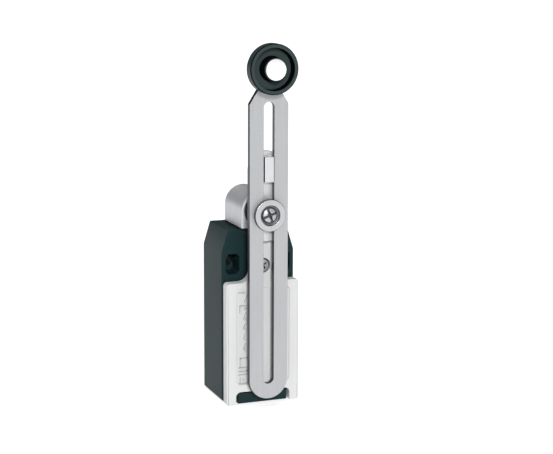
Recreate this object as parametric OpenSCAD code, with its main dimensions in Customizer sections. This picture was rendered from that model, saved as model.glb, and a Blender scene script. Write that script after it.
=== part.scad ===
// Limit switch with a rotary head and an adjustable roller lever.
// The origin is midway between the two fixing holes on the mounting face.
// X runs to the right, Y points into the machine, Z points up. Millimetres.

/* [Body] */
// Width of the body across the mounting face
body_w = 30; // [28:0.5:32]
// Depth of the body from the mounting face to the joint with the cover
body_depth = 22.3; // [22:0.1:23]
// Distance from the fixing holes down to the bottom of the body
body_drop = 55; // [54:0.5:60]
// Height of the body's top face above the fixing holes
body_rise = 13.5; // [13.2:0.1:14]
// Width of the flat top between the slanted shoulders
body_top_w = 24.6; // [23:0.2:26]
// Spacing of the two fixing holes
fixing_spacing = 20; // [20:0.1:21]
// Diameter of the fixing holes
fixing_d = 4.3; // [4.2:0.1:4.5]
// Bore of the cable entry under its M20 x 1.5 thread
entry_d = 18.4; // [16:0.1:18.6]

/* [Cover] */
// Depth from the mounting face to the cover's front
cover_front = 28.2; // [28:0.1:29]
// Thickness of the gasket between body and cover
gasket_t = 1.6; // [1:0.1:2]
// Width of the tongue between the fixing holes
tongue_w = 9.8; // [9:0.2:12]

/* [Head] */
// Height of the lever shaft above the fixing holes
axis_h = 21; // [20.8:0.1:21.4]
// Radius of the arch of the head
head_r = 7.5; // [7.4:0.1:7.8]
// Depth of the head's back face in front of the mounting face
head_back = 4; // [3.5:0.5:4]
// Depth of the head's front face
head_front = 24.2; // [24.2:0.1:24.6]
// Diameter of the lever shaft
shaft_d = 6; // [5.8:0.1:6.2]

/* [Lever] */
// Width of the lever
lever_w = 15.6; // [15:0.2:16]
// Thickness of the lever
lever_t = 2.5; // [2:0.1:2.6]
// Depth from the mounting face to the lever's front face
lever_front = 34.2; // [34.2:0.1:34.6]
// Width of the adjusting slot
slot_w = 4.3; // [4.2:0.1:4.6]
// Top of the slot above the shaft
slot_above = 43.4; // [43:0.1:44]
// Bottom of the slot below the shaft
slot_below = 66.9; // [60:0.1:67]
// Distance from the shaft to the roller pin
roller_height = 56; // [56:0.5:60]

/* [Roller] */
// Diameter of the roller
roller_d = 19.3; // [18:0.1:20]
// Width of the roller's rim
roller_t = 4.6; // [4.4:0.1:4.7]

/* [Hidden] */
$fn = 48;

// Small amount by which a cutter runs past the face that it cuts
over = 1;
// Running clearance of a shaft in its bore, on the radius
running = 0.05;
// Clearance between parts that only have to pass each other
loose = 0.1;

// Body
body_half = body_w / 2;
shoulder_z = 4.5;
body_chamfer = 0.5;
wall = 2.5;
cavity_half = body_half - 2.3;
cavity_top = -7;
cavity_bottom = -44;
fixing_x = fixing_spacing / 2;
pocket_x = 10.5;
pocket_w = 5.6;
pocket_h = 8;
pocket_depth = 8.3;
entry_y = 12;
lip_half = 10.2;
lip_front = 27.5;
lip_h = 4.2;

// Cover
cover_back = body_depth + gasket_t;
cover_wall = 1.8;
cover_shoulder_z = -6.4;
cover_bottom = -body_drop - 0.3;
cover_chamfer = 0.45;
cover_corner = 1.4;
tongue_half = tongue_w / 2;
tongue_fillet = 4.4;
leg_inner = 11.2;
leg_top = -50.2;
leg_fillet = 2;
leg_bevel_z = -51.2;
leg_bevel = 1.3;
panel_half = 10.95;
panel_top = -8.8;
panel_bottom = -47.2;
panel_recess = 0.4;
panel_corner = 1.2;
cover_screw_r = 2.75;
cover_screw_head = 1.9;
cover_screw_shank_r = 1.45;
cover_screw_tip = 17;

// Head
head_base = body_rise + 0.8;
head_chamfer = 0.5;
chamber_r = 5.4;
chamber_back = 8;
chamber_front = 17;
bush_r = 4;
seal_back = 22.8;
seal_r = 6.3;
seal_front = head_front + 0.3;
journal_r = 2.5;
journal_back = 5.8;
head_screw_x = 4.8;
head_screw_ys = [5.6, 19.4];
head_screw_r = 1.25;
head_screw_head_r = 2.05;
head_screw_head_h = 1.8;
head_screw_seat = 9;
head_screw_tip = 18;

// Lever shaft, cam and carrier
shaft_r = shaft_d / 2;
cam_r = 5;
cam_flat = 3;
cam_back = 9;
cam_front = 15.8;
cam_pin_r = 0.75;
circlip_back = 16;
circlip_t = 0.6;
circlip_r = 4.4;
groove_r = shaft_r - 0.4;
lever_back = lever_front - lever_t;
carrier_t = 2;
carrier_back = lever_back - carrier_t;
carrier_half = 7.2;
carrier_top = 24.4;
carrier_bottom = 10.8;
hub_r = 4.6;
hub_back = seal_front + 0.4;
lug_half = 1.85;
lug_low = 12.6;
lug_high = 22.4;
lug_front = lever_front + 0.5;

// Lever and its clamp
lever_half = lever_w / 2;
tail_centre = -slot_below - 6 + lever_half;
taper_start = 42.5;
taper_end = 47.7;
tip_r = 4.5;
clamp_r = 6.2;
clamp_front = lever_front + 1.8;
clamp_recess_r = 4;
clamp_floor = lever_front + 0.5;
clamp_screw_r = 2;
clamp_head_r = 3.2;
clamp_head_front = clamp_front - 0.3;
clamp_screw_tip = 24;
cross_l = 1.9;
cross_w = 0.42;
cross_depth = 0.8;

// Roller
roller_z = axis_h + roller_height;
roller_back = lever_front + 1.1;
roller_front = roller_back + roller_t;
roller_r = roller_d / 2;
roller_hub_front = roller_front + 0.8;
roller_hub_r = 4.8;
roller_hub_nose_r = 4.25;
roller_floor = roller_front - 3.6;
pin_r = 2.5;
pin_head_r = 4;
pin_head_back = roller_hub_front + 0.1;
pin_head_front = pin_head_back + 0.8;
pin_rivet_back = lever_back - 0.9;
pin_rivet_r = 3.4;

// Pusher
pusher_y = 12.5;
pusher_top = axis_h - cam_r - 0.2;
pusher_head_r = 3.9;
pusher_head_h = 1.6;
pusher_stem_r = 2;
pusher_tip_r = 1.4;
pusher_tip_h = 3.1;
pusher_bottom = -7.3;
spring_chamber_r = 4.3;
spring_chamber_z = 6.5;

// Contact block
block_half = 12.2;
block_back = wall;
block_front = 16.8;
block_top = -8;
block_bottom = -34;
contact_half = 6.2;
contact_back = 8.5;
contact_top = -10;
contact_bottom = -31;
lid_t = 1.5;
plunger_stem_r = 1.5;
plunger_top = -7.5;
plunger_half = 2;
plunger_depth = 2.5;
plunger_bottom = -23.5;
window_half = 1.4;
window_top = -16.8;
window_bottom = -22.2;
bridge_z = -17.6;
bridge_t = 0.7;
bridge_half = 5.7;
contact_x = 4.8;
contact_r = 0.9;
nc_z = -15.8;
no_z = -22.3;
arm_t = 0.8;
arm_inner = 3.6;
arm_outer = 6;
pad_outer = 11.6;
pad_t = 0.8;
pad_h = 7;
nc_pad_z = -13.5;
no_pad_z = -25;
terminal_x = 8.9;
terminal_screw_r = 1.7;
terminal_screw_tip = 11.5;
terminal_head_r = 2.9;
terminal_head_t = 2;
terminal_clamp_t = 1;

// Extrudes an outline drawn in X and Z forwards from depth y0 by t
module plate(y0, t) {
    translate([0, -y0, 0])
        rotate([90, 0, 0])
            linear_extrude(height = t)
                children();
}

// Round bar along the depth, from depth y0 to depth y1
module bar(y0, y1, r, x = 0, z = 0) {
    translate([x, -y0, z])
        rotate([90, 0, 0])
            cylinder(h = y1 - y0, r = r);
}

// Round bar along the height, from z0 to z1
module post(z0, z1, r, x = 0, y = 0) {
    translate([x, -y, z0])
        cylinder(h = z1 - z0, r = r);
}

// Block between two corners, its depths given as distances in front of the mounting face
module block(x0, x1, y0, y1, z0, z1) {
    translate([x0, -y1, z0])
        cube([x1 - x0, y1 - y0, z1 - z0]);
}

// Half of a disc, above or below its centre
module half_disc(r, side) {
    intersection() {
        circle(r = r);
        translate([-r, side > 0 ? 0 : -r])
            square([2 * r, r]);
    }
}

// Rectangle with cut corners, centred on X
module cut_rectangle(half, z0, z1, c) {
    polygon([[-half + c, z0], [half - c, z0], [half, z0 + c], [half, z1 - c],
        [half - c, z1], [-half + c, z1], [-half, z1 - c], [-half, z0 + c]]);
}

// Slot with round ends along the height
module slot_outline(half, z0, z1) {
    translate([-half, z0 + half])
        square([2 * half, z1 - z0 - 2 * half]);
    translate([0, z0 + half])
        circle(r = half);
    translate([0, z1 - half])
        circle(r = half);
}

// Cross recess in a screw head that faces forwards, cut back from depth y
module cross_recess(y, arm, w, depth) {
    block(-arm, arm, y - depth, y + over, -w, w);
    block(-w, w, y - depth, y + over, -arm, arm);
}

// Coil spring of round wire along the height, its turns closer together at both ends
function spring_rise(f) = f - 0.35 * sin(360 * f) / (2 * PI);
function spring_point(f, k, sides, turns, r, wire, length) =
    let (turn = 360 * turns * f, side = 360 * k / sides, out = r + wire * cos(side))
    [out * cos(turn), out * sin(turn), wire + (length - 2 * wire) * spring_rise(f) + wire * sin(side)];
module coil_spring(length, r, wire, turns) {
    sides = 8;
    steps = 16 * turns;
    rings = [for (i = [0:steps]) for (k = [0:sides - 1])
        spring_point(i / steps, k, sides, turns, r, wire, length)];
    skin = [for (i = [0:steps - 1]) for (k = [0:sides - 1])
        [i * sides + k, (i + 1) * sides + k, (i + 1) * sides + (k + 1) % sides, i * sides + (k + 1) % sides]];
    start_cap = [[for (k = [0:sides - 1]) k]];
    end_cap = [[for (k = [sides - 1:-1:0]) steps * sides + k]];
    polyhedron(points = rings, faces = concat(skin, start_cap, end_cap));
}

// Outline of the body seen from the front, with its slanted shoulders
module body_outline(inset = 0) {
    half = body_half - inset;
    top_half = body_top_w / 2 - inset;
    low = -body_drop + inset;
    c = body_chamfer;
    polygon([[-half + c, low], [half - c, low], [half, low + c], [half, shoulder_z],
        [top_half, body_rise - inset], [-top_half, body_rise - inset],
        [-half, shoulder_z], [-half, low + c]]);
}

// Moulded body: open at the front, with the cable entry below and the fixing holes above
module body() {
    color([0.17, 0.21, 0.21])
    difference() {
        union() {
            hull() {
                plate(0, body_depth - body_chamfer)
                    body_outline();
                plate(0, body_depth)
                    body_outline(body_chamfer);
            }
            // lip under the cover, between its legs
            block(-lip_half, lip_half, body_depth - over, lip_front, -body_drop, -body_drop + lip_h);
        }
        // space for the contact block and the wires
        block(-cavity_half, cavity_half, wall, body_depth + over, cavity_bottom, cavity_top);
        post(-body_drop - over, cavity_bottom + over, entry_d / 2, 0, entry_y);
        for (side = [-1, 1]) {
            bar(-over, body_depth + over, fixing_d / 2, side * fixing_x, 0);
            // pocket that takes the fixing screw's head
            translate([side * pocket_x, 0, 0])
                plate(body_depth - pocket_depth, pocket_depth + over)
                    cut_rectangle(pocket_w / 2, -pocket_h / 2, pocket_h / 2, 1.2);
            for (y = head_screw_ys) {
                post(cavity_top - over, head_screw_seat, head_screw_head_r + loose, side * head_screw_x, y);
                post(head_screw_seat - over, body_rise + over, head_screw_r + loose, side * head_screw_x, y);
            }
        }
        // guide and spring chamber of the pusher
        post(cavity_top - over, body_rise, pusher_stem_r + running, 0, pusher_y);
        post(spring_chamber_z, body_rise + over, spring_chamber_r, 0, pusher_y);
        bar(cover_screw_tip - 0.7, body_depth + over, cover_screw_shank_r + running);
    }
}

// Outline shared by the cover and its gasket: a panel with a tongue between the fixing holes
module cover_outline(inset, low) {
    half = body_half - inset;
    top = body_rise - inset;
    tongue = tongue_half - inset;
    shoulder = cover_shoulder_z - inset;
    difference() {
        cut_rectangle(half, low, shoulder, 0.6);
        // upper corners, rounded below
        for (side = [-1, 1])
            translate([side * (half - cover_corner / 2) - cover_corner / 2, shoulder - cover_corner])
                square(cover_corner);
    }
    for (side = [-1, 1])
        translate([side * (half - cover_corner), shoulder - cover_corner])
            circle(r = cover_corner);
    translate([-tongue, shoulder - over])
        square([2 * tongue, top - shoulder + over]);
    // fillets where the tongue rises from the shoulders
    for (side = [-1, 1])
        difference() {
            translate([side > 0 ? tongue - over : -tongue - tongue_fillet, shoulder - 0.5])
                square([tongue_fillet + over, tongue_fillet + 0.5]);
            translate([side * (tongue + tongue_fillet), shoulder + tongue_fillet])
                circle(r = tongue_fillet);
        }
}

// Front cover: a shallow tray with two legs that reach past the lip of the body
module cover() {
    color([0.88, 0.89, 0.89])
    difference() {
        plate(cover_back, cover_front - cover_back)
            cover_outline(0, cover_bottom);
        // hollow behind the front wall
        block(-cavity_half, cavity_half, cover_back - over, cover_front - cover_wall,
            cavity_bottom, cover_shoulder_z - 2);
        // recessed front panel
        plate(cover_front - panel_recess, panel_recess + over)
            cut_rectangle(panel_half, panel_bottom, panel_top, panel_corner);
        // opening between the legs for the lip
        plate(cover_back - over, cover_front - cover_back + 2 * over)
            union() {
                translate([-leg_inner + leg_fillet, cover_bottom - over])
                    square([2 * (leg_inner - leg_fillet), leg_top - cover_bottom + over]);
                translate([-leg_inner, cover_bottom - over])
                    square([2 * leg_inner, leg_top - leg_fillet - cover_bottom + over]);
                for (side = [-1, 1])
                    translate([side * (leg_inner - leg_fillet), leg_top - leg_fillet])
                        circle(r = leg_fillet);
            }
        // bevelled toes of the legs
        translate([0, -cover_front, leg_bevel_z])
            rotate([-atan(leg_bevel / (leg_bevel_z - cover_bottom)), 0, 0])
                translate([-body_w, -body_w, -body_w])
                    cube([2 * body_w, body_w, body_w]);
        // bevels along both front edges
        for (side = [-1, 1])
            translate([side * body_half, -cover_front, 0])
                rotate([0, 0, 45])
                    translate([-cover_chamfer, -cover_chamfer, cover_bottom - over])
                        cube([2 * cover_chamfer, 2 * cover_chamfer, -cover_bottom + body_rise]);
        bar(cover_back - over, cover_front + over, cover_screw_shank_r + loose);
        bar(cover_front - cover_screw_head - loose, cover_front + over, cover_screw_r + 0.2);
    }
}

// Rubber gasket between body and cover
module cover_gasket() {
    color([0.06, 0.07, 0.07])
    difference() {
        plate(body_depth, gasket_t)
            cover_outline(0.35, leg_top + loose);
        block(-cavity_half, cavity_half, body_depth - over, cover_back + over, cavity_bottom, cover_shoulder_z - 2);
        bar(body_depth - over, cover_back + over, cover_screw_shank_r + loose);
    }
}

// Captive screw of the cover
module cover_screw() {
    color([0.72, 0.73, 0.75])
    difference() {
        union() {
            bar(cover_front - cover_screw_head, cover_front - 0.2, cover_screw_r);
            bar(cover_screw_tip, cover_front - cover_screw_head, cover_screw_shank_r);
        }
        cross_recess(cover_front - 0.2, 1.5, 0.35, 0.9);
    }
}

// Die-cast head: an arch that runs from front to back over the shaft
module head() {
    color([0.62, 0.63, 0.65])
    difference() {
        union() {
            // straight flanks below the shaft
            hull() {
                block(-head_r, head_r, head_back + head_chamfer, head_front - head_chamfer, head_base, axis_h);
                block(-head_r + head_chamfer, head_r - head_chamfer, head_back, head_front, head_base, axis_h);
            }
            // half-round top
            intersection() {
                translate([0, -head_back, axis_h])
                    rotate([90, 0, 0])
                        rotate_extrude()
                            polygon([[0, 0], [head_r - head_chamfer, 0], [head_r, head_chamfer],
                                [head_r, head_front - head_back - head_chamfer],
                                [head_r - head_chamfer, head_front - head_back], [0, head_front - head_back]]);
                block(-2 * head_r, 2 * head_r, 0, 2 * head_front, axis_h, axis_h + 2 * head_r);
            }
        }
        // chamber of the cam, open below for the pusher
        bar(chamber_back, chamber_front, chamber_r, 0, axis_h);
        post(head_base - over, axis_h, spring_chamber_r, 0, pusher_y);
        bar(journal_back - 0.2, chamber_back + over, journal_r + running, 0, axis_h);
        bar(chamber_front - over, seal_back + over, bush_r, 0, axis_h);
        bar(seal_back, head_front + over, seal_r, 0, axis_h);
        for (side = [-1, 1], y = head_screw_ys)
            post(head_base - over, head_screw_tip + 0.3, head_screw_r, side * head_screw_x, y);
    }
}

// Flat gasket under the head
module head_gasket() {
    color([0.06, 0.07, 0.07])
    difference() {
        block(-head_r + 0.3, head_r - 0.3, head_back + 0.3, body_depth, body_rise, head_base);
        post(body_rise - over, head_base + over, spring_chamber_r, 0, pusher_y);
        for (side = [-1, 1], y = head_screw_ys)
            post(body_rise - over, head_base + over, head_screw_r + loose, side * head_screw_x, y);
    }
}

// Four screws that hold the head from inside the body
module head_fixing_screws() {
    color([0.7, 0.7, 0.72])
    for (side = [-1, 1], y = head_screw_ys)
        difference() {
            union() {
                post(head_screw_seat - head_screw_head_h, head_screw_seat, head_screw_head_r,
                    side * head_screw_x, y);
                post(head_screw_seat, head_screw_tip, head_screw_r, side * head_screw_x, y);
            }
            block(side * head_screw_x - 3, side * head_screw_x + 3, y - 0.3, y + 0.3,
                head_screw_seat - head_screw_head_h - over, head_screw_seat - head_screw_head_h + 0.8);
        }
}

// Bearing bush pressed into the head
module shaft_bush() {
    color([0.78, 0.6, 0.32])
    difference() {
        bar(chamber_front, seal_back, bush_r, 0, axis_h);
        bar(chamber_front - over, seal_back + over, shaft_r + running, 0, axis_h);
    }
}

// Rubber seal round the shaft at the front of the head
module shaft_seal() {
    color([0.05, 0.05, 0.05])
    difference() {
        bar(seal_back, seal_front, seal_r, 0, axis_h);
        bar(seal_back - over, seal_front + over, shaft_r + loose, 0, axis_h);
    }
}

// Stepped shaft that carries the lever, threaded at its front for the clamp screw
module lever_shaft() {
    color([0.7, 0.71, 0.73])
    difference() {
        union() {
            bar(journal_back, chamber_back + 0.5, journal_r, 0, axis_h);
            bar(chamber_back + 0.5, lever_back, shaft_r, 0, axis_h);
        }
        // groove of the circlip
        difference() {
            bar(circlip_back, circlip_back + circlip_t, shaft_r + over, 0, axis_h);
            bar(circlip_back - over, circlip_back + circlip_t + over, groove_r, 0, axis_h);
        }
        bar(clamp_screw_tip - 0.7, lever_back + over, clamp_screw_r, 0, axis_h);
        post(axis_h - 2 * cam_r, axis_h + 2 * cam_r, cam_pin_r, 0, pusher_y);
    }
}

// Cam with a flat below it, which presses the pusher down when the shaft turns either way
module shaft_cam() {
    color([0.75, 0.73, 0.68])
    difference() {
        bar(cam_back, cam_front, cam_r, 0, axis_h);
        bar(cam_back - over, cam_front + over, shaft_r, 0, axis_h);
        block(-2 * cam_r, 2 * cam_r, cam_back - over, cam_front + over, axis_h - 2 * cam_r,
            axis_h - cam_flat - 0.6);
        post(axis_h - 2 * cam_r, axis_h + 2 * cam_r, cam_pin_r, 0, pusher_y);
    }
}

// Pin through the cam and the shaft
module cam_pin() {
    color([0.6, 0.6, 0.62])
    post(axis_h - cam_flat - 0.5, axis_h + cam_r - 0.2, cam_pin_r, 0, pusher_y);
}

// Circlip behind the bush
module shaft_circlip() {
    color([0.35, 0.36, 0.38])
    difference() {
        bar(circlip_back, circlip_back + circlip_t, circlip_r, 0, axis_h);
        bar(circlip_back - over, circlip_back + circlip_t + over, groove_r, 0, axis_h);
        block(-1.2, 1.2, circlip_back - over, circlip_back + circlip_t + over, axis_h - 2 * circlip_r, axis_h);
    }
}

// Plate on the shaft that guides the lever with the lug in its slot
module lever_carrier() {
    color([0.8, 0.81, 0.82])
    translate([0, 0, axis_h])
    difference() {
        union() {
            plate(carrier_back, carrier_t)
                union() {
                    translate([-carrier_half, -carrier_bottom + carrier_half])
                        square([2 * carrier_half, carrier_top + carrier_bottom - 2 * carrier_half]);
                    translate([0, carrier_top - carrier_half])
                        half_disc(carrier_half, 1);
                    translate([0, -carrier_bottom + carrier_half])
                        half_disc(carrier_half, -1);
                }
            bar(hub_back, carrier_back + 0.5, hub_r);
            block(-lug_half, lug_half, lever_back - over, lug_front, lug_low, lug_high);
        }
        bar(hub_back - over, lever_back + over, shaft_r);
    }
}

// Flat lever with its long adjusting slot
module lever() {
    color([0.74, 0.75, 0.77])
    translate([0, 0, axis_h])
    difference() {
        union() {
            plate(lever_back, lever_t)
                polygon([[-lever_half, tail_centre], [-lever_half, taper_start], [-tip_r, taper_end],
                    [-tip_r, roller_height], [tip_r, roller_height], [tip_r, taper_end],
                    [lever_half, taper_start], [lever_half, tail_centre]]);
            bar(lever_back, lever_front, lever_half, 0, tail_centre);
            bar(lever_back, lever_front, tip_r, 0, roller_height);
        }
        plate(lever_back - over, lever_t + 2 * over)
            slot_outline(slot_w / 2, -slot_below, slot_above);
        bar(lever_back - over, lever_front + over, pin_r, 0, roller_height);
    }
}

// Round clamping washer with a key that sits in the slot
module clamp_washer() {
    color([0.78, 0.79, 0.8])
    translate([0, 0, axis_h])
    difference() {
        union() {
            bar(lever_front, clamp_front, clamp_r);
            block(-slot_w / 2 + loose, slot_w / 2 - loose, lever_back + 0.2, lever_front + 0.2, -4.5, 4.5);
        }
        bar(clamp_floor, clamp_front + over, clamp_recess_r);
        bar(lever_back - over, clamp_front + over, clamp_screw_r + 0.15);
    }
}

// Cross-recess screw that clamps the lever to its carrier
module clamp_screw() {
    color([0.66, 0.67, 0.69])
    translate([0, 0, axis_h])
    difference() {
        union() {
            bar(clamp_floor, clamp_head_front, clamp_head_r);
            bar(clamp_screw_tip, clamp_floor + 0.2, clamp_screw_r);
        }
        cross_recess(clamp_head_front, cross_l, cross_w, cross_depth);
        rotate([0, 45, 0])
            cross_recess(clamp_head_front, cross_l * 0.7, cross_w / 2, cross_depth / 2);
    }
}

// Moulded roller with a recessed face and a hub that stands out of it
module roller() {
    rim = roller_t;
    chamfer = 0.3;
    lip = 1.6;
    draft = 0.2;
    web = roller_front - roller_floor;
    color([0.26, 0.3, 0.3])
    translate([0, -roller_back, roller_z])
    rotate([90, 0, 0])
    rotate_extrude()
    polygon([[pin_r + running, 0], [roller_r - chamfer, 0], [roller_r, chamfer],
        [roller_r, rim - chamfer], [roller_r - chamfer, rim],
        [roller_r - lip, rim], [roller_r - lip - draft, rim - web],
        [roller_hub_r, rim - web], [roller_hub_nose_r, roller_hub_front - roller_back],
        [pin_r + running, roller_hub_front - roller_back]]);
}

// Riveted pin of the roller, with a flat bright head
module roller_pin() {
    color([0.93, 0.94, 0.95])
    translate([0, 0, roller_z])
    union() {
        bar(pin_rivet_back, lever_back, pin_rivet_r);
        bar(lever_back - 0.2, pin_head_back + 0.2, pin_r);
        bar(pin_head_back, pin_head_front, pin_head_r);
    }
}

// Thin washer between the lever and the roller
module roller_washer() {
    color([0.7, 0.7, 0.72])
    difference() {
        bar(lever_front, roller_back - loose, pin_head_r, 0, roller_z);
        bar(lever_front - over, roller_back + over, pin_r, 0, roller_z);
    }
}

// Mushroom-headed pusher between the cam and the contact block
module pusher() {
    color([0.85, 0.82, 0.72])
    translate([0, -pusher_y, 0])
    rotate_extrude()
    polygon([[0, pusher_bottom], [pusher_tip_r - 0.3, pusher_bottom], [pusher_tip_r, pusher_bottom + 0.3],
        [pusher_tip_r, pusher_bottom + pusher_tip_h - 0.6], [pusher_stem_r, pusher_bottom + pusher_tip_h],
        [pusher_stem_r, pusher_top - pusher_head_h], [pusher_head_r, pusher_top - pusher_head_h],
        [pusher_head_r, pusher_top - 0.6], [pusher_head_r - 1.2, pusher_top], [0, pusher_top]]);
}

// Return spring under the pusher's head
module pusher_spring() {
    color([0.6, 0.61, 0.63])
    translate([0, -pusher_y, spring_chamber_z])
        coil_spring(pusher_top - pusher_head_h - spring_chamber_z, 3.1, 0.35, 6);
}

// Insulating housing of the contacts, open at the front
module contact_block() {
    color([0.86, 0.84, 0.78])
    difference() {
        block(-block_half, block_half, block_back, block_front, block_bottom, block_top);
        block(-contact_half, contact_half, contact_back, block_front + over, contact_bottom, contact_top);
        post(contact_top - over, block_top + over, plunger_stem_r + running, 0, pusher_y);
        for (side = [-1, 1], z = [nc_pad_z, no_pad_z])
            bar(terminal_screw_tip - 0.5, block_front + over, terminal_screw_r + running,
                side * terminal_x, z);
    }
}

// Lid of the contact chamber, notched for the four contact arms
module contact_block_lid() {
    color([0.8, 0.78, 0.7])
    difference() {
        block(-contact_half, contact_half, block_front - lid_t, block_front, contact_bottom, contact_top);
        for (side = [-1, 1], z = [nc_z, no_z])
            block(min(side * (arm_inner - loose), side * (contact_half + over)),
                max(side * (arm_inner - loose), side * (contact_half + over)),
                block_front - lid_t - over, block_front + over, z - loose, z + arm_t + loose);
    }
}

// Sliding plunger of the contacts, with a window that carries the bridge
module contact_plunger() {
    color([0.75, 0.2, 0.16])
    difference() {
        union() {
            post(contact_top - 2.5, plunger_top, plunger_stem_r, 0, pusher_y);
            block(-plunger_half, plunger_half, pusher_y - plunger_depth, pusher_y + plunger_depth,
                plunger_bottom, contact_top - 2);
        }
        block(-plunger_half - over, plunger_half + over, pusher_y - window_half, pusher_y + window_half,
            window_bottom, window_top);
    }
}

// Bridge that opens the upper contacts and closes the lower ones
module moving_contact() {
    color([0.82, 0.62, 0.35])
    union() {
        block(-bridge_half, bridge_half, pusher_y - window_half + 0.1, pusher_y + window_half - 0.1,
            bridge_z, bridge_z + bridge_t);
        for (side = [-1, 1])
            post(bridge_z - 0.5, bridge_z + bridge_t + 0.4, contact_r, side * contact_x, pusher_y);
    }
}

// Spring in the plunger's window, which presses the bridge up
module contact_spring() {
    color([0.6, 0.61, 0.63])
    translate([0, -pusher_y, window_bottom])
        coil_spring(bridge_z - window_bottom, 0.95, 0.17, 6);
}

// Spring that lifts the plunger from the floor of the contact chamber
module return_spring() {
    color([0.6, 0.61, 0.63])
    translate([0, -pusher_y, contact_bottom])
        coil_spring(plunger_bottom - contact_bottom, 1.6, 0.2, 8);
}

// Fixed contact: a pad on the block's front, an arm into the chamber and a contact rivet
module terminal(side, arm_z, pad_z, rivet) {
    color([0.8, 0.66, 0.36])
    mirror([side < 0 ? 1 : 0, 0, 0])
    difference() {
        union() {
            block(arm_inner, pad_outer, block_front, block_front + pad_t, pad_z - pad_h / 2, pad_z + pad_h / 2);
            block(arm_inner, arm_outer, pusher_y - 1.5, block_front + pad_t, arm_z, arm_z + arm_t);
            if (rivet < 0)
                post(arm_z - 0.5, arm_z + arm_t, contact_r, contact_x, pusher_y);
            else
                post(arm_z, arm_z + arm_t + 0.5, contact_r, contact_x, pusher_y);
        }
        bar(block_front - over, block_front + pad_t + over, terminal_screw_r + running, terminal_x, pad_z);
    }
}

// Upper terminals, closed at rest
module nc_terminal_left() {
    terminal(-1, nc_z, nc_pad_z, -1);
}
module nc_terminal_right() {
    terminal(1, nc_z, nc_pad_z, -1);
}

// Lower terminals, open at rest
module no_terminal_left() {
    terminal(-1, no_z, no_pad_z, 1);
}
module no_terminal_right() {
    terminal(1, no_z, no_pad_z, 1);
}

// Four terminal screws
module terminal_screws() {
    clamp_front_y = block_front + pad_t + terminal_clamp_t;
    color([0.74, 0.74, 0.76])
    for (side = [-1, 1], z = [nc_pad_z, no_pad_z])
        translate([side * terminal_x, 0, z])
            difference() {
                union() {
                    bar(terminal_screw_tip, clamp_front_y + 0.2, terminal_screw_r);
                    bar(clamp_front_y, clamp_front_y + terminal_head_t, terminal_head_r);
                }
                cross_recess(clamp_front_y + terminal_head_t, 1.7, 0.35, 0.9);
            }
}

// Square clamping plates under the terminal screws
module terminal_clamps() {
    half = 3.1;
    color([0.7, 0.7, 0.72])
    for (side = [-1, 1], z = [nc_pad_z, no_pad_z])
        translate([side * terminal_x, 0, z])
            difference() {
                block(-half, half, block_front + pad_t, block_front + pad_t + terminal_clamp_t, -half, half);
                bar(block_front, block_front + pad_t + terminal_clamp_t + over, terminal_screw_r + running);
            }
}

body();
cover();
cover_gasket();
cover_screw();
head();
head_gasket();
head_fixing_screws();
shaft_bush();
shaft_seal();
lever_shaft();
shaft_cam();
cam_pin();
shaft_circlip();
lever_carrier();
lever();
clamp_washer();
clamp_screw();
roller();
roller_pin();
roller_washer();
pusher();
pusher_spring();
contact_block();
contact_block_lid();
contact_plunger();
moving_contact();
contact_spring();
return_spring();
nc_terminal_left();
nc_terminal_right();
no_terminal_left();
no_terminal_right();
terminal_screws();
terminal_clamps();
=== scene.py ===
import math

import bmesh
import bpy
from mathutils import Matrix, Vector


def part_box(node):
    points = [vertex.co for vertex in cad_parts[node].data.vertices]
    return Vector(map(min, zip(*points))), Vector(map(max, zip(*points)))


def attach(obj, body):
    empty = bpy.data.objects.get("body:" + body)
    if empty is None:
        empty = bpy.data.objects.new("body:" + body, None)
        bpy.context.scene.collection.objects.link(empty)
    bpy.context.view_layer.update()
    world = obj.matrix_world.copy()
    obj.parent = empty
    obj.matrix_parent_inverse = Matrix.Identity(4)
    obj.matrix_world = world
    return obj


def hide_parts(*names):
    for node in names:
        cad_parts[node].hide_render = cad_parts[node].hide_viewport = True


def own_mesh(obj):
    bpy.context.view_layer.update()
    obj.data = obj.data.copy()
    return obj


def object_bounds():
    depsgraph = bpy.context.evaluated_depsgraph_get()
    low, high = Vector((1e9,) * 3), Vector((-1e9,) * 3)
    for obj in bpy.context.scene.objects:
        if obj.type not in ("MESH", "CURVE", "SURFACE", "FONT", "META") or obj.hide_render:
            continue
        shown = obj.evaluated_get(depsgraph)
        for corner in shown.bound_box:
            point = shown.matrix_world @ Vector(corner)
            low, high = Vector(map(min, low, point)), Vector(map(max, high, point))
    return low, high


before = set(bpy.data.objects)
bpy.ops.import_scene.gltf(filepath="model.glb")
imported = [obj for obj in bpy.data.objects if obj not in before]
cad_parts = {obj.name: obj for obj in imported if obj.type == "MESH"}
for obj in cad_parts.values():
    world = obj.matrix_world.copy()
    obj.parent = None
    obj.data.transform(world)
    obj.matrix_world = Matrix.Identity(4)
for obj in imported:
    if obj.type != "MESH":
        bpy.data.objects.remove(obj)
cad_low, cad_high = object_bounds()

MM = 0.001
scene = bpy.context.scene


# Camera
# A long lens to the left of the switch and a little above it, looking slightly down.
# It stands far enough off that the lever's two edges stay nearly parallel.
camera_turn = math.radians(-21.17)
camera_rise = math.radians(11.04)
camera_roll = math.radians(0.23)
camera_aim = Vector((6.65, -25.0, 14.19)) * MM
camera_distance = 611.67 * MM
focal_pixels = 1570.0
frame_pixels = 553.0
sensor_width = 36.0

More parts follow.
